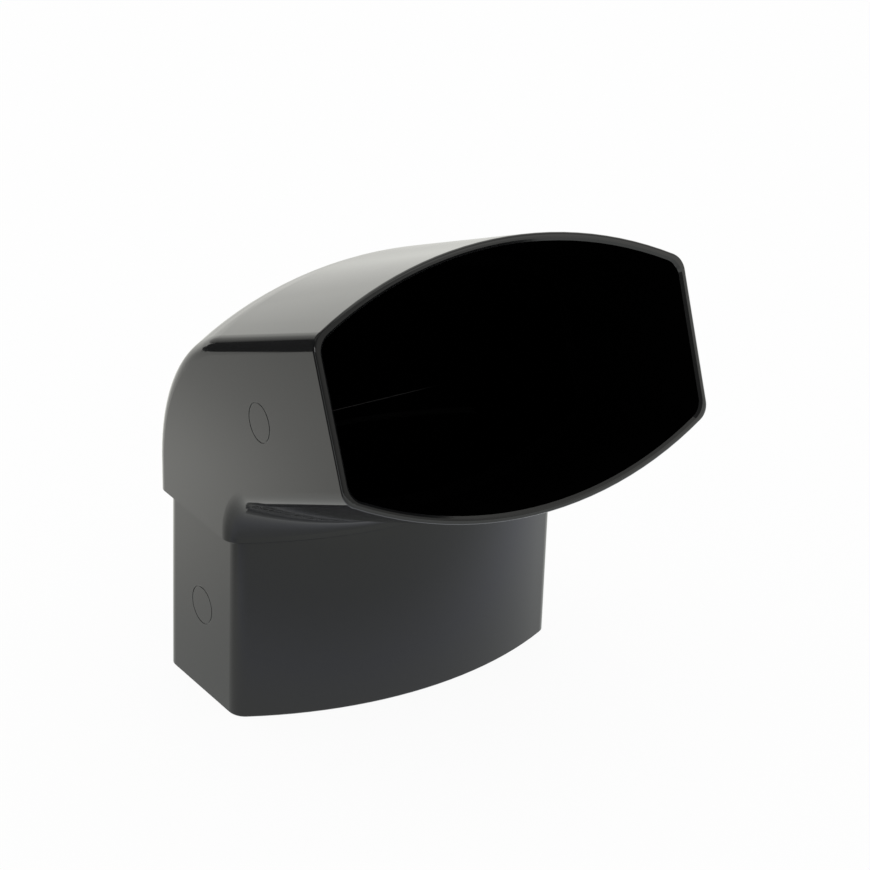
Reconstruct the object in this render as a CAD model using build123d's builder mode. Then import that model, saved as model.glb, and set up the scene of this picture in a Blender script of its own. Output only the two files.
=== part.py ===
# Moulded plastic downpipe bend for a bow-sided rectangular rainwater pipe.
# The plain end (spigot) points straight down and slips into the pipe below it.
# The socket takes the pipe above it and tilts towards -Y by the angle of the bend.
# The origin is the middle of the spigot's lower end, and X runs across the wide side.

import os
from math import cos, radians, sin, sqrt

from build123d import *

os.makedirs("parts", exist_ok=True)

# The pipe's outline, which the outside of the spigot shares
pipe_width = 90.0
pipe_depth = 54.0
bow_radius = 97.0
corner_radius = 4.5
wall = 1.9

# The run of the fitting: the axes of the spigot and the socket cross inside the bend
spigot_length = 47.3
crossing_height = 71.5
mouth_distance = 67.5
bend_angle = 67.5
back_radius = 56.0
throat_radius = 1.5

# How far the body stands out from the pipe's outline, on its bowed sides and on its flaring flat sides
collar_bow_step = 1.9
socket_bow_step = 4.05
collar_side_step = 2.4
mouth_side_step = 4.4
body_bow_radius = 100.0

# The ledge that the pipe stops against and the funnel below it
stop_overlap = 1.05
stop_width = 2.0
funnel_start = 0.6
funnel_end = 1.2

# The edges
shoulder_bevel = 0.3
spigot_bevel = 0.3
rim_rounding = 0.9
lead_in = 0.6

# The rings that ejector pins left on the flat side that faces -X
mark_diameter = 9.6
mark_line = 0.35
mark_depth = 0.15
spigot_mark_height = 23.0
socket_mark_distance = 34.7

# Directions along the socket and along the line that halves the bend
tilt = radians(bend_angle)
crossing = Vector(0, 0, crossing_height)
socket_direction = Vector(0, -sin(tilt), cos(tilt))
half_direction = Vector(0, -sin(tilt / 2), cos(tilt / 2))

# The two arcs touch the collar's and the socket's bowed sides
collar_half_depth = pipe_depth / 2 + collar_bow_step
socket_half_depth = pipe_depth / 2 + socket_bow_step
back_offset = back_radius - collar_half_depth
back_drop = back_radius - socket_half_depth
throat_offset = collar_half_depth + throat_radius
throat_drop = socket_half_depth + throat_radius
back_height = crossing_height + (back_offset * cos(tilt) - back_drop) / sin(tilt)
throat_height = crossing_height + (throat_offset * cos(tilt) - throat_drop) / sin(tilt)
back_run = back_offset * sin(tilt) - (crossing_height - back_height) * cos(tilt)
throat_run = throat_offset * sin(tilt) - (crossing_height - throat_height) * cos(tilt)
back_axis = Axis((0, -back_offset, back_height), (1, 0, 0))
throat_axis = Axis((0, -throat_offset, throat_height), (1, 0, 0))
back_plane = Plane(origin=crossing + socket_direction * back_run, x_dir=(1, 0, 0), z_dir=socket_direction)
socket_plane = back_plane.offset(throat_run - back_run)

# The flat sides spread evenly from the collar's shoulder to the mouth
shoulder_level = -(crossing_height - spigot_length) * cos(tilt / 2)
mouth_level = mouth_distance * cos(tilt / 2)
flare = (mouth_side_step - collar_side_step) / (mouth_level - shoulder_level)
half_width = pipe_width / 2 + collar_side_step - flare * shoulder_level
side_plane = Plane(origin=crossing, x_dir=(1, 0, 0), z_dir=(0, -cos(tilt / 2), -sin(tilt / 2)))

# The two rings lie flat on the sides, the upper one on the flaring side
mark_reach = half_width + flare * socket_mark_distance * cos(tilt / 2)
spigot_mark_plane = Plane(origin=(-pipe_width / 2, 0, spigot_mark_height), z_dir=(-1, 0, 0))
socket_mark_plane = Plane(
    origin=crossing + socket_direction * socket_mark_distance - Vector(mark_reach, 0, 0),
    z_dir=Vector(-1, 0, 0) - half_direction * flare,
)


def outline(growth):
    """The pipe's bow-sided outline, with every side moved outward by the growth."""
    with BuildSketch() as sketch:
        Rectangle(pipe_width + 2 * growth, pipe_depth + 2 * growth)
        for side in (-1, 1):
            with Locations((0, side * (pipe_depth / 2 - bow_radius))):
                Circle(bow_radius + growth, mode=Mode.INTERSECT)
        fillet(sketch.vertices(), corner_radius)
    return sketch.sketch


def blank(half_depth, inset):
    """The body's bowed outline with its sides left long, since they are cut to their flare later."""
    with BuildSketch() as sketch:
        Rectangle(pipe_width + 4 * mouth_side_step, 2 * (half_depth - inset))
        for side in (-1, 1):
            with Locations((0, side * (half_depth - body_bow_radius))):
                Circle(body_bow_radius - inset, mode=Mode.INTERSECT)
    return sketch.sketch


def back_blank(half_depth, inset, axis_offset):
    """The part of the blank between the axis of the back's arc and the back."""
    with BuildSketch() as sketch:
        add(blank(half_depth, inset))
        with Locations((0, -axis_offset)):
            Rectangle(2 * pipe_width, 2 * pipe_depth, align=(Align.CENTER, Align.MIN), mode=Mode.INTERSECT)
    return sketch.sketch


def runs_along(edge, bottom):
    """Whether an edge of a side follows the bend, rather than crossing at the lower end or the mouth."""
    middle = edge @ 0.5
    below_mouth = (middle - crossing).dot(socket_direction) < mouth_distance - 0.1
    return middle.Z > bottom + 0.01 and below_mouth


def body(bottom, inset):
    """The collar, bend and socket as one solid from the bottom up, with every side moved inward by the inset."""
    with BuildPart() as form:
        # The collar and the throat's arc, which turns the whole outline
        collar = blank(collar_half_depth, inset)
        extrude(Plane.XY.offset(bottom) * collar, amount=throat_height - bottom)
        revolve(Plane.XY.offset(throat_height) * collar, axis=throat_axis, revolution_arc=bend_angle)

        # The back, with its wider arc
        collar_back = back_blank(collar_half_depth, inset, back_offset)
        extrude(Plane.XY.offset(bottom) * collar_back, amount=back_height - bottom)
        revolve(Plane.XY.offset(back_height) * collar_back, axis=back_axis, revolution_arc=bend_angle)
        socket_back = back_blank(socket_half_depth, inset, back_drop)
        extrude(back_plane * socket_back, amount=throat_run - back_run)

        # The socket
        extrude(socket_plane * blank(socket_half_depth, inset), amount=mouth_distance - throat_run)

        # The flat sides, and the roundings between them and the bowed sides
        side_inset = inset * sqrt(1 + flare * flare)
        narrow = half_width - side_inset - flare * pipe_width
        broad = half_width - side_inset + flare * pipe_width
        with BuildSketch(side_plane):
            Polygon(
                (-narrow, -pipe_width), (narrow, -pipe_width), (broad, pipe_width), (-broad, pipe_width), align=None
            )
        extrude(amount=2 * pipe_width, both=True, mode=Mode.INTERSECT)
        sides = form.faces().sort_by(Axis.X)
        corners = [edge for edge in sides[0].edges() + sides[-1].edges() if runs_along(edge, bottom)]
        fillet(corners, corner_radius)
    return form.part


with BuildPart() as water_way:
    # The hollow of the body, left narrower at the ledge
    add(body(spigot_length + funnel_end, wall))
    with BuildSketch(socket_plane):
        Rectangle(2 * pipe_width, 2 * pipe_depth)
    extrude(amount=stop_width, mode=Mode.SUBTRACT)
    with BuildSketch(socket_plane):
        add(outline(-stop_overlap))
    extrude(amount=stop_width)

    # The funnel, down to the bore of the spigot
    wide_end = water_way.faces().sort_by(Axis.Z)[0]
    narrow_end = Plane.XY.offset(spigot_length + funnel_start) * outline(-wall)
    loft([narrow_end.face(), wide_end], ruled=True)
    with BuildSketch():
        add(outline(-wall))
    extrude(amount=spigot_length + funnel_start)

with BuildPart() as downpipe_bend:
    # Outside of the spigot, with its end edge bevelled
    with BuildSketch():
        add(outline(0))
    extrude(amount=spigot_length)
    chamfer(downpipe_bend.faces().sort_by(Axis.Z)[0].edges(), spigot_bevel)

    # Outside of the collar, the bend and the socket
    add(body(spigot_length, 0))
    shoulder = downpipe_bend.faces().filter_by(Plane.XY).sort_by(Axis.Z)[-1]
    chamfer(shoulder.outer_wire().edges(), shoulder_bevel)

    # The water way, open at both ends
    add(water_way.part, mode=Mode.SUBTRACT)

    # Rim of the mouth, rounded outside and bevelled inside to lead the pipe in
    rim = downpipe_bend.faces().sort_by(Axis((0, 0, 0), socket_direction))[-1]
    fillet(rim.outer_wire().edges(), rim_rounding)
    rim = downpipe_bend.faces().sort_by(Axis((0, 0, 0), socket_direction))[-1]
    chamfer(rim.inner_wires()[0].edges(), lead_in)

    # Rings, pressed a little into the flat side
    for mark_plane in (spigot_mark_plane, socket_mark_plane):
        with BuildSketch(mark_plane):
            Circle(mark_diameter / 2)
            Circle(mark_diameter / 2 - mark_line, mode=Mode.SUBTRACT)
        extrude(amount=-mark_depth, mode=Mode.SUBTRACT)

downpipe_bend.part.label = "downpipe_bend"
export_step(downpipe_bend.part, "parts/downpipe_bend.step")
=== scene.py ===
# Studio picture of a moulded downpipe bend standing on its spigot, in metres, in the part's own frame.

import math

import bmesh
import bpy
from mathutils import Matrix, Vector

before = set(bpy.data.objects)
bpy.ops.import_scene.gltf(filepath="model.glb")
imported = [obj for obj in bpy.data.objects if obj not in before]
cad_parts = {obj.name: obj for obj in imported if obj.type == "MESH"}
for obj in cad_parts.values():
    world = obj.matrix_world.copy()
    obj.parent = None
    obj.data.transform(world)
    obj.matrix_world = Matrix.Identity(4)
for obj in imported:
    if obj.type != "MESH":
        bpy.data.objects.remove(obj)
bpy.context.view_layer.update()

# The camera stands in front, to the left and above, and leans a little to one side
CAMERA_PLACE = (-0.37269, -0.58103, 0.38121)
CAMERA_AZIMUTH = math.radians(-34.069)
CAMERA_ELEVATION = math.radians(25.084)
CAMERA_ROLL = math.radians(2.111)
CAMERA_LENS = 130.75
CAMERA_SENSOR = 36.0
CAMERA_CLIP = (0.01, 50.0)

# The room: a white table in an evenly white room
WHITE = (1.0, 1.0, 1.0, 1.0)
FLOOR_RADIUS = 6.0
FLOOR_SIDES = 96
FLOOR_COLOUR = (0.86, 0.86, 0.86, 1.0)
FLOOR_GLOW = 0.94
ROOM_BRIGHT = 1.0

# What the gloss mirrors of the table: a bright pool behind the bend, a dim front, a lit spot at the right
# and a bright distance. A step gives two places, each with what it adds to the brightness there
TABLE_MIRRORED = 0.72
POOL_PLACE = (-0.025, 0.125)
POOL_SPREAD = 0.092
POOL_NEAR = 0.065
POOL_FAR = 0.130
POOL_MORE = 0.88
NEAR_STEP = ((-0.150, 0.33), (-0.105, 0.0))
FRONT_STEP = ((-0.085, -0.07), (-0.035, 0.10))
MIDDLE_STEP = ((-0.025, 0.0), (0.0, -0.08))
LEFT_STEP = ((-0.135, -0.08), (-0.098, 0.05))
RIGHT_PLACE = (0.110, -0.020, 0.0)
RIGHT_SPREAD = 0.060
RIGHT_MORE = 0.30
FAR_STEP = ((0.32, 0.0), (0.72, 0.37))

# What the gloss mirrors of the room, by the direction in degrees from +Y towards +X
ROOM_MIRRORED = (
    (-180, 0.50), (-150, 0.40), (-125, 0.15), (-90, 0.15), (-60, 0.60), (-21, 0.10), (-13, 0.05),
    (-7, 0.38), (0, 0.62), (8, 1.08), (15, 1.28), (30, 1.12), (45, 1.10), (60, 0.80), (70, 0.60),
    (108, 0.60), (118, 1.20), (140, 1.35), (145, 1.20), (149, 0.48), (180, 0.50),
)

# The dark card and the small lamp before it, to the left of the bend and out of the picture
CARD_X = -0.186
CARD_REACH = (-0.060, 0.700)
CARD_HEIGHT = 0.225
CARD_BRIGHT = 0.05
LAMP_X = -0.180
LAMP_REACH = (-0.112, -0.078)
LAMP_HEIGHTS = (0.130, 0.176)
LAMP_BRIGHT = 5.0

# The table's tint in the gloss from front to back, each with its place along Y, and the room's tint
TABLE_TINTS = (
    (-0.110, (0.97, 1.0, 0.97, 1.0)), (-0.045, (0.90, 0.93, 1.0, 1.0)), (-0.010, (0.98, 1.0, 0.97, 1.0)),
    (0.060, (1.0, 1.0, 0.95, 1.0)),
)
ROOM_TINT = (1.0, 1.0, 0.95, 1.0)

# The bend's own axes, for telling its inside from its outside: an inner wall faces its axis from further
# away than WALL_DISTANCE, the ledge faces the mouth, and the rim ends at RIM_DEPTH
CROSSING = (0.0, 0.0, 0.0715)
SPIGOT_DIRECTION = (0.0, 0.0, 1.0)
SOCKET_DIRECTION = (0.0, -math.sin(math.radians(67.5)), math.cos(math.radians(67.5)))
MOUTH_DISTANCE = 0.0675
RIM_DEPTH = 0.0007
WALL_DISTANCE = 0.01
LEDGE_TURN = 0.9

# The plastic: its clouds vary the gloss, and its grain is a very low bump
PLASTIC_COLOUR = (0.0056, 0.0058, 0.0060, 1.0)
# Painted shade: the walls inside the water way are coloured near-black and matt in place of the gloss
INSIDE_PAINTED_SHADE = (0.0006, 0.0006, 0.0006, 1.0)
PLASTIC_ROUGHNESS = (0.055, 0.095)
PLASTIC_IOR = 1.5
CLOUD_SCALE = 90.0
CLOUD_DETAIL = 3.0
CLOUD_RANGE = (0.3, 0.7)
GRAIN_SCALE = 1500.0
GRAIN_DETAIL = 2.0
GRAIN_HEIGHT = 0.000006
GRAIN_STRENGTH = 0.3

# The two pressed rings, with painted light: coloured paler than the plastic round them to lighten the
# shade in their grooves
RING_PLACES = ((-0.045, 0.0, 0.023), (-0.048685, -0.032059, 0.084779))
RING_RADIUS = 0.004625
RING_FADE = ((0.00015, 1.0), (0.00035, 0.0))
RING_PAINTED_LIGHT = (0.050, 0.051, 0.050, 1.0)
RING_ROUGHNESS = 0.4

# The fine line that the mould left on the back wall inside, on a slanting plane, with a painted
# highlight: coloured paler where it catches the light
LINE_SLOPE = 0.565
LINE_LEVEL = 0.06667
LINE_FADE = ((0.00005, 1.0), (0.00018, 0.0))
LINE_BACK = 0.018
LINE_END = ((0.024, 1.0), (0.036, 0.0))
LINE_HIGHLIGHT_COLOUR = (0.07, 0.07, 0.07, 1.0)


def add_camera():
    """The photograph's camera, with its picture plane square to the line of sight."""
    data = bpy.data.cameras.new("camera")
    data.lens = CAMERA_LENS
    data.sensor_width = CAMERA_SENSOR
    data.clip_start, data.clip_end = CAMERA_CLIP
    camera = bpy.data.objects.new("camera", data)
    bpy.context.scene.collection.objects.link(camera)
    flat = math.cos(CAMERA_ELEVATION)
    across, ahead = math.sin(CAMERA_AZIMUTH) * flat, math.cos(CAMERA_AZIMUTH) * flat
    back = Vector((across, -ahead, math.sin(CAMERA_ELEVATION)))
    turn = (-back).to_track_quat("-Z", "Y").to_matrix()
    turn = turn @ Matrix.Rotation(CAMERA_ROLL, 3, "Z")
    camera.matrix_world = Matrix.Translation(CAMERA_PLACE) @ turn.to_4x4()
    bpy.context.scene.camera = camera


def add_world():
    """Evenly white room, which the gloss mirrors by the levels of ROOM_MIRRORED."""
    world = bpy.data.worlds.new("studio")
    world.use_nodes = True
    tree = world.node_tree
    tree.nodes.clear()
    out = tree.nodes.new("ShaderNodeOutputWorld")
    plain = tree.nodes.new("ShaderNodeBackground")
    plain.inputs["Color"].default_value = WHITE
    plain.inputs["Strength"].default_value = ROOM_BRIGHT
    mirrored = tree.nodes.new("ShaderNodeBackground")
    mirrored.inputs["Color"].default_value = ROOM_TINT
    where = tree.nodes.new("ShaderNodeTexCoord")
    parts = tree.nodes.new("ShaderNodeSeparateXYZ")
    tree.links.new(where.outputs["Generated"], parts.inputs["Vector"])
    turn = number_node(tree, "ARCTAN2", parts.outputs["X"], parts.outputs["Y"])
    turn = number_node(tree, "ADD", number_node(tree, "DIVIDE", turn, 2.0 * math.pi), 0.5)
    brightest = max(level for angle, level in ROOM_MIRRORED)
    stops = []
    for angle, level in ROOM_MIRRORED:
        grey = level / brightest
        stops.append((angle / 360.0 + 0.5, (grey, grey, grey, 1.0)))
    level = number_node(tree, "MULTIPLY", stops_node(tree, turn, stops), brightest)
    tree.links.new(level, mirrored.inputs["Strength"])
    rays = tree.nodes.new("ShaderNodeLightPath")
    mix = tree.nodes.new("ShaderNodeMixShader")
    tree.links.new(rays.outputs["Is Glossy Ray"], mix.inputs["Fac"])
    tree.links.new(plain.outputs["Background"], mix.inputs[1])
    tree.links.new(mirrored.outputs["Background"], mix.inputs[2])
    tree.links.new(mix.outputs["Shader"], out.inputs["Surface"])
    bpy.context.scene.world = world


def add_floor():
    """White table, on which the bend keeps a faint shadow, and which its gloss mirrors unevenly lit."""
    mesh = bpy.data.meshes.new("floor")
    bm = bmesh.new()
    bmesh.ops.create_circle(bm, cap_ends=True, segments=FLOOR_SIDES, radius=FLOOR_RADIUS)
    bm.to_mesh(mesh)
    bm.free()
    floor = bpy.data.objects.new("floor", mesh)
    bpy.context.scene.collection.objects.link(floor)
    material = bpy.data.materials.new("white_table")
    material.use_nodes = True
    tree = material.node_tree
    tree.nodes.clear()
    out = tree.nodes.new("ShaderNodeOutputMaterial")
    matt = tree.nodes.new("ShaderNodeBsdfDiffuse")
    matt.inputs["Color"].default_value = FLOOR_COLOUR
    glow = tree.nodes.new("ShaderNodeEmission")
    glow.inputs["Strength"].default_value = 1.0
    seen = tree.nodes.new("ShaderNodeMixShader")
    mirrored = tree.nodes.new("ShaderNodeMixShader")
    pool = tree.nodes.new("ShaderNodeEmission")
    tree.links.new(table_brightness(tree), pool.inputs["Strength"])
    tree.links.new(table_tint(tree), pool.inputs["Color"])
    rays = tree.nodes.new("ShaderNodeLightPath")
    glowing = number_node(tree, "MULTIPLY", rays.outputs["Is Camera Ray"], FLOOR_GLOW)
    tree.links.new(glowing, seen.inputs["Fac"])
    tree.links.new(matt.outputs["BSDF"], seen.inputs[1])
    tree.links.new(glow.outputs["Emission"], seen.inputs[2])
    tree.links.new(rays.outputs["Is Glossy Ray"], mirrored.inputs["Fac"])
    tree.links.new(seen.outputs["Shader"], mirrored.inputs[1])
    tree.links.new(pool.outputs["Emission"], mirrored.inputs[2])
    tree.links.new(mirrored.outputs["Shader"], out.inputs["Surface"])
    mesh.materials.append(material)


def table_brightness(tree):
    """The table's brightness in the gloss, by the place on the table."""
    where = tree.nodes.new("ShaderNodeTexCoord")
    parts = tree.nodes.new("ShaderNodeSeparateXYZ")
    tree.links.new(where.outputs["Object"], parts.inputs["Vector"])
    across = number_node(tree, "SUBTRACT", parts.outputs["X"], POOL_PLACE[0])
    back = number_node(tree, "SUBTRACT", parts.outputs["Y"], POOL_PLACE[1])
    across = number_node(tree, "DIVIDE", across, POOL_SPREAD)
    behind = number_node(tree, "DIVIDE", back, POOL_FAR)
    before = number_node(tree, "DIVIDE", back, -POOL_NEAR)
    pool = bell_node(tree, across, number_node(tree, "MAXIMUM", behind, before))
    level = number_node(tree, "MULTIPLY", pool, POOL_MORE)
    away = tree.nodes.new("ShaderNodeVectorMath")
    away.operation = "DISTANCE"
    away.inputs[1].default_value = RIGHT_PLACE
    tree.links.new(where.outputs["Object"], away.inputs[0])
    right = bell_node(tree, number_node(tree, "DIVIDE", away.outputs["Value"], RIGHT_SPREAD))
    level = number_node(tree, "ADD", level, number_node(tree, "MULTIPLY", right, RIGHT_MORE))
    for step in (NEAR_STEP, FRONT_STEP, MIDDLE_STEP):
        level = number_node(tree, "ADD", level, ramp_node(tree, parts.outputs["Y"], step))
    level = number_node(tree, "ADD", level, ramp_node(tree, parts.outputs["X"], LEFT_STEP))
    length = tree.nodes.new("ShaderNodeVectorMath")
    length.operation = "LENGTH"
    tree.links.new(where.outputs["Object"], length.inputs[0])
    level = number_node(tree, "ADD", level, ramp_node(tree, length.outputs["Value"], FAR_STEP))
    return number_node(tree, "ADD", level, TABLE_MIRRORED)


def table_tint(tree):
    """The table's tint in the gloss, cooler just before the bend and warmer behind it."""
    where = tree.nodes.new("ShaderNodeTexCoord")
    parts = tree.nodes.new("ShaderNodeSeparateXYZ")
    tree.links.new(where.outputs["Object"], parts.inputs["Vector"])
    first, last = TABLE_TINTS[0][0], TABLE_TINTS[-1][0]
    spread = number_node(tree, "SUBTRACT", parts.outputs["Y"], first)
    spread = number_node(tree, "DIVIDE", spread, last - first)
    stops = [((place - first) / (last - first), tint) for place, tint in TABLE_TINTS]
    return stops_node(tree, spread, stops)


def bell_node(tree, first, second=0.0):
    """A soft spot: one where both values are nought, fading to nought as either grows."""
    first = number_node(tree, "MULTIPLY", first, first)
    second = number_node(tree, "MULTIPLY", second, second)
    both = number_node(tree, "ADD", first, second)
    return number_node(tree, "POWER", math.exp(-1.0), both)


def add_board(name, x, reach, heights, bright):
    """Upright board across X, glowing by the given brightness, that only the gloss mirrors."""
    mesh = bpy.data.meshes.new(name)
    bm = bmesh.new()
    near, far = reach
    bottom, top = heights
    places = ((near, bottom), (far, bottom), (far, top), (near, top))
    bm.faces.new([bm.verts.new((x, y, z)) for y, z in places])
    bm.to_mesh(mesh)
    bm.free()
    board = bpy.data.objects.new(name, mesh)
    bpy.context.scene.collection.objects.link(board)
    material = bpy.data.materials.new(name)
    material.use_nodes = True
    tree = material.node_tree
    tree.nodes.clear()
    out = tree.nodes.new("ShaderNodeOutputMaterial")
    glow = tree.nodes.new("ShaderNodeEmission")
    glow.inputs["Strength"].default_value = bright
    tree.links.new(glow.outputs["Emission"], out.inputs["Surface"])
    mesh.materials.append(material)
    board.visible_camera = False
    board.visible_diffuse = False
    board.visible_shadow = False
    board.visible_transmission = False


def ramp_node(tree, value, step):
    """A smooth change from the first level to the second as the value passes the two bounds."""
    node = tree.nodes.new("ShaderNodeMapRange")
    node.interpolation_type = "SMOOTHSTEP"
    node.inputs["From Min"].default_value, node.inputs["To Min"].default_value = step[0]
    node.inputs["From Max"].default_value, node.inputs["To Max"].default_value = step[1]
    tree.links.new(value, node.inputs["Value"])
    return node.outputs["Result"]


def stops_node(tree, value, stops):
    """The colour for the value, blended between stops that each have a place and a colour."""
    node = tree.nodes.new("ShaderNodeValToRGB")
    elements = node.color_ramp.elements
    while len(elements) < len(stops):
        elements.new(0.5)
    for element, (place, colour) in zip(elements, stops):
        element.position = place
        element.color = colour
    tree.links.new(value, node.inputs["Fac"])
    return node.outputs["Color"]


def number_node(tree, operation, first, second=0.0):
    """A Math node on one or two values, each a socket or a plain number."""
    node = tree.nodes.new("ShaderNodeMath")
    node.operation = operation
    for place, value in enumerate((first, second)):
        if isinstance(value, (int, float)):
            node.inputs[place].default_value = value
        else:
            tree.links.new(value, node.inputs[place])
    return node.outputs["Value"]


def dot_node(tree, first, second):
    """The dot product of two vectors, each a socket or plain numbers."""
    node = tree.nodes.new("ShaderNodeVectorMath")
    node.operation = "DOT_PRODUCT"
    for place, value in enumerate((first, second)):
        if isinstance(value, tuple):
            node.inputs[place].default_value = value
        else:
            tree.links.new(value, node.inputs[place])
    return node.outputs["Value"]


def inside_shade_mask(tree):
    """One on the walls that face the water way, which are painted in shade, and nought on the outside and
    the rim.
    """
    where = tree.nodes.new("ShaderNodeTexCoord")
    shift = tree.nodes.new("ShaderNodeVectorMath")
    shift.operation = "SUBTRACT"
    shift.inputs[1].default_value = CROSSING
    tree.links.new(where.outputs["Object"], shift.inputs[0])
    place = shift.outputs["Vector"]
    facing = where.outputs["Normal"]
    outward = dot_node(tree, place, facing)
    along = {}
    for name, axis in (("spigot", SPIGOT_DIRECTION), ("socket", SOCKET_DIRECTION)):
        along[name] = dot_node(tree, place, axis)
        turned = dot_node(tree, facing, axis)
        away = number_node(tree, "SUBTRACT", outward, number_node(tree, "MULTIPLY", along[name], turned))
        along[name + " wall"] = number_node(tree, "LESS_THAN", away, -WALL_DISTANCE)
        along[name + " turned"] = turned
    upper = number_node(tree, "ADD", along["spigot"], along["socket"])
    upper = number_node(tree, "GREATER_THAN", upper, 0.0)
    lower = number_node(tree, "SUBTRACT", 1.0, upper)
    behind_rim = number_node(tree, "LESS_THAN", along["socket"], MOUTH_DISTANCE - RIM_DEPTH)
    ledge = number_node(tree, "GREATER_THAN", along["socket turned"], LEDGE_TURN)
    socket_inside = number_node(tree, "MAXIMUM", along["socket wall"], ledge)
    socket_inside = number_node(tree, "MULTIPLY", socket_inside, behind_rim)
    in_socket = number_node(tree, "MULTIPLY", upper, socket_inside)
    in_spigot = number_node(tree, "MULTIPLY", lower, along["spigot wall"])
    return number_node(tree, "MAXIMUM", in_socket, in_spigot)


def ring_mask(tree):
    """One in the grooves of the two pressed rings, fading out just beside them."""
    where = tree.nodes.new("ShaderNodeTexCoord")
    masks = []
    for place in RING_PLACES:
        away = tree.nodes.new("ShaderNodeVectorMath")
        away.operation = "DISTANCE"
        away.inputs[1].default_value = place
        tree.links.new(where.outputs["Object"], away.inputs[0])
        off_ring = number_node(tree, "SUBTRACT", away.outputs["Value"], RING_RADIUS)
        off_ring = number_node(tree, "ABSOLUTE", off_ring)
        masks.append(ramp_node(tree, off_ring, RING_FADE))
    return number_node(tree, "MAXIMUM", masks[0], masks[1])


def mould_line_highlight_mask(tree):
    """One on the mould's line across the back wall inside, where a highlight is painted, fading towards
    both of its ends.
    """
    where = tree.nodes.new("ShaderNodeTexCoord")
    parts = tree.nodes.new("ShaderNodeSeparateXYZ")
    tree.links.new(where.outputs["Object"], parts.inputs["Vector"])
    rise = number_node(tree, "MULTIPLY", parts.outputs["Y"], LINE_SLOPE)
    rise = number_node(tree, "ADD", rise, parts.outputs["Z"])
    off_line = number_node(tree, "ABSOLUTE", number_node(tree, "SUBTRACT", rise, LINE_LEVEL))
    on_back = number_node(tree, "GREATER_THAN", parts.outputs["Y"], LINE_BACK)
    on_line = number_node(tree, "MULTIPLY", ramp_node(tree, off_line, LINE_FADE), on_back)
    from_middle = number_node(tree, "ABSOLUTE", parts.outputs["X"])
    return number_node(tree, "MULTIPLY", on_line, ramp_node(tree, from_middle, LINE_END))


def noise_node(tree, scale, detail):
    """Noise of the given scale on the bend's own coordinates."""
    where = tree.nodes.new("ShaderNodeTexCoord")
    noise = tree.nodes.new("ShaderNodeTexNoise")
    noise.inputs["Scale"].default_value = scale
    noise.inputs["Detail"].default_value = detail
    tree.links.new(where.outputs["Object"], noise.inputs["Vector"])
    return noise.outputs["Fac"]


def mixed_colour(tree, mask, plain, marked):
    """The plain colour, turning to the marked one as the mask goes from nought to one."""
    mix = tree.nodes.new("ShaderNodeMix")
    mix.data_type = "RGBA"
    mix.inputs["A"].default_value = plain
    mix.inputs["B"].default_value = marked
    tree.links.new(mask, mix.inputs["Factor"])
    return mix.outputs["Result"]


def black_plastic():
    """Glossy near-black moulded plastic with a fine grain, rings painted paler as painted light, and
    painted shade inside: matt and near-black, with a painted highlight on the mould line.
    """
    material = bpy.data.materials.new("moulded_plastic")
    material.use_nodes = True
    tree = material.node_tree
    gloss = tree.nodes["Principled BSDF"]
    gloss.inputs["IOR"].default_value = PLASTIC_IOR
    rings = ring_mask(tree)
    # Painted light in the rings' grooves: a paler colour that lightens their shade
    tree.links.new(mixed_colour(tree, rings, PLASTIC_COLOUR, RING_PAINTED_LIGHT), gloss.inputs["Base Color"])
    rough = tree.nodes.new("ShaderNodeMapRange")
    rough.inputs["From Min"].default_value, rough.inputs["From Max"].default_value = CLOUD_RANGE
    rough.inputs["To Min"].default_value, rough.inputs["To Max"].default_value = PLASTIC_ROUGHNESS
    tree.links.new(noise_node(tree, CLOUD_SCALE, CLOUD_DETAIL), rough.inputs["Value"])
    rougher_in_grooves = number_node(tree, "MULTIPLY", rings, RING_ROUGHNESS)
    roughness = number_node(tree, "MAXIMUM", rough.outputs["Result"], rougher_in_grooves)
    tree.links.new(roughness, gloss.inputs["Roughness"])
    grain = tree.nodes.new("ShaderNodeBump")
    grain.inputs["Strength"].default_value = GRAIN_STRENGTH
    grain.inputs["Distance"].default_value = GRAIN_HEIGHT
    tree.links.new(noise_node(tree, GRAIN_SCALE, GRAIN_DETAIL), grain.inputs["Height"])
    tree.links.new(grain.outputs["Normal"], gloss.inputs["Normal"])
    # Painted shade inside: a matt near-black in place of the gloss, with a painted highlight along the
    # mould line
    painted_shade_matt = tree.nodes.new("ShaderNodeBsdfDiffuse")
    shade_and_line_highlight = mixed_colour(tree, mould_line_highlight_mask(tree), INSIDE_PAINTED_SHADE, LINE_HIGHLIGHT_COLOUR)
    tree.links.new(shade_and_line_highlight, painted_shade_matt.inputs["Color"])
    mix = tree.nodes.new("ShaderNodeMixShader")
    tree.links.new(inside_shade_mask(tree), mix.inputs["Fac"])
    tree.links.new(gloss.outputs["BSDF"], mix.inputs[1])
    tree.links.new(painted_shade_matt.outputs["BSDF"], mix.inputs[2])
    tree.links.new(mix.outputs["Shader"], tree.nodes["Material Output"].inputs["Surface"])
    return material


bpy.context.scene.view_settings.view_transform = "Standard"
add_camera()
add_world()
add_floor()
add_board("dark_card", CARD_X, CARD_REACH, (0.0, CARD_HEIGHT), CARD_BRIGHT)
add_board("lamp", LAMP_X, LAMP_REACH, LAMP_HEIGHTS, LAMP_BRIGHT)

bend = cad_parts["downpipe_bend"]
plastic = black_plastic()
for place in bend.material_slots:
    place.material = plastic
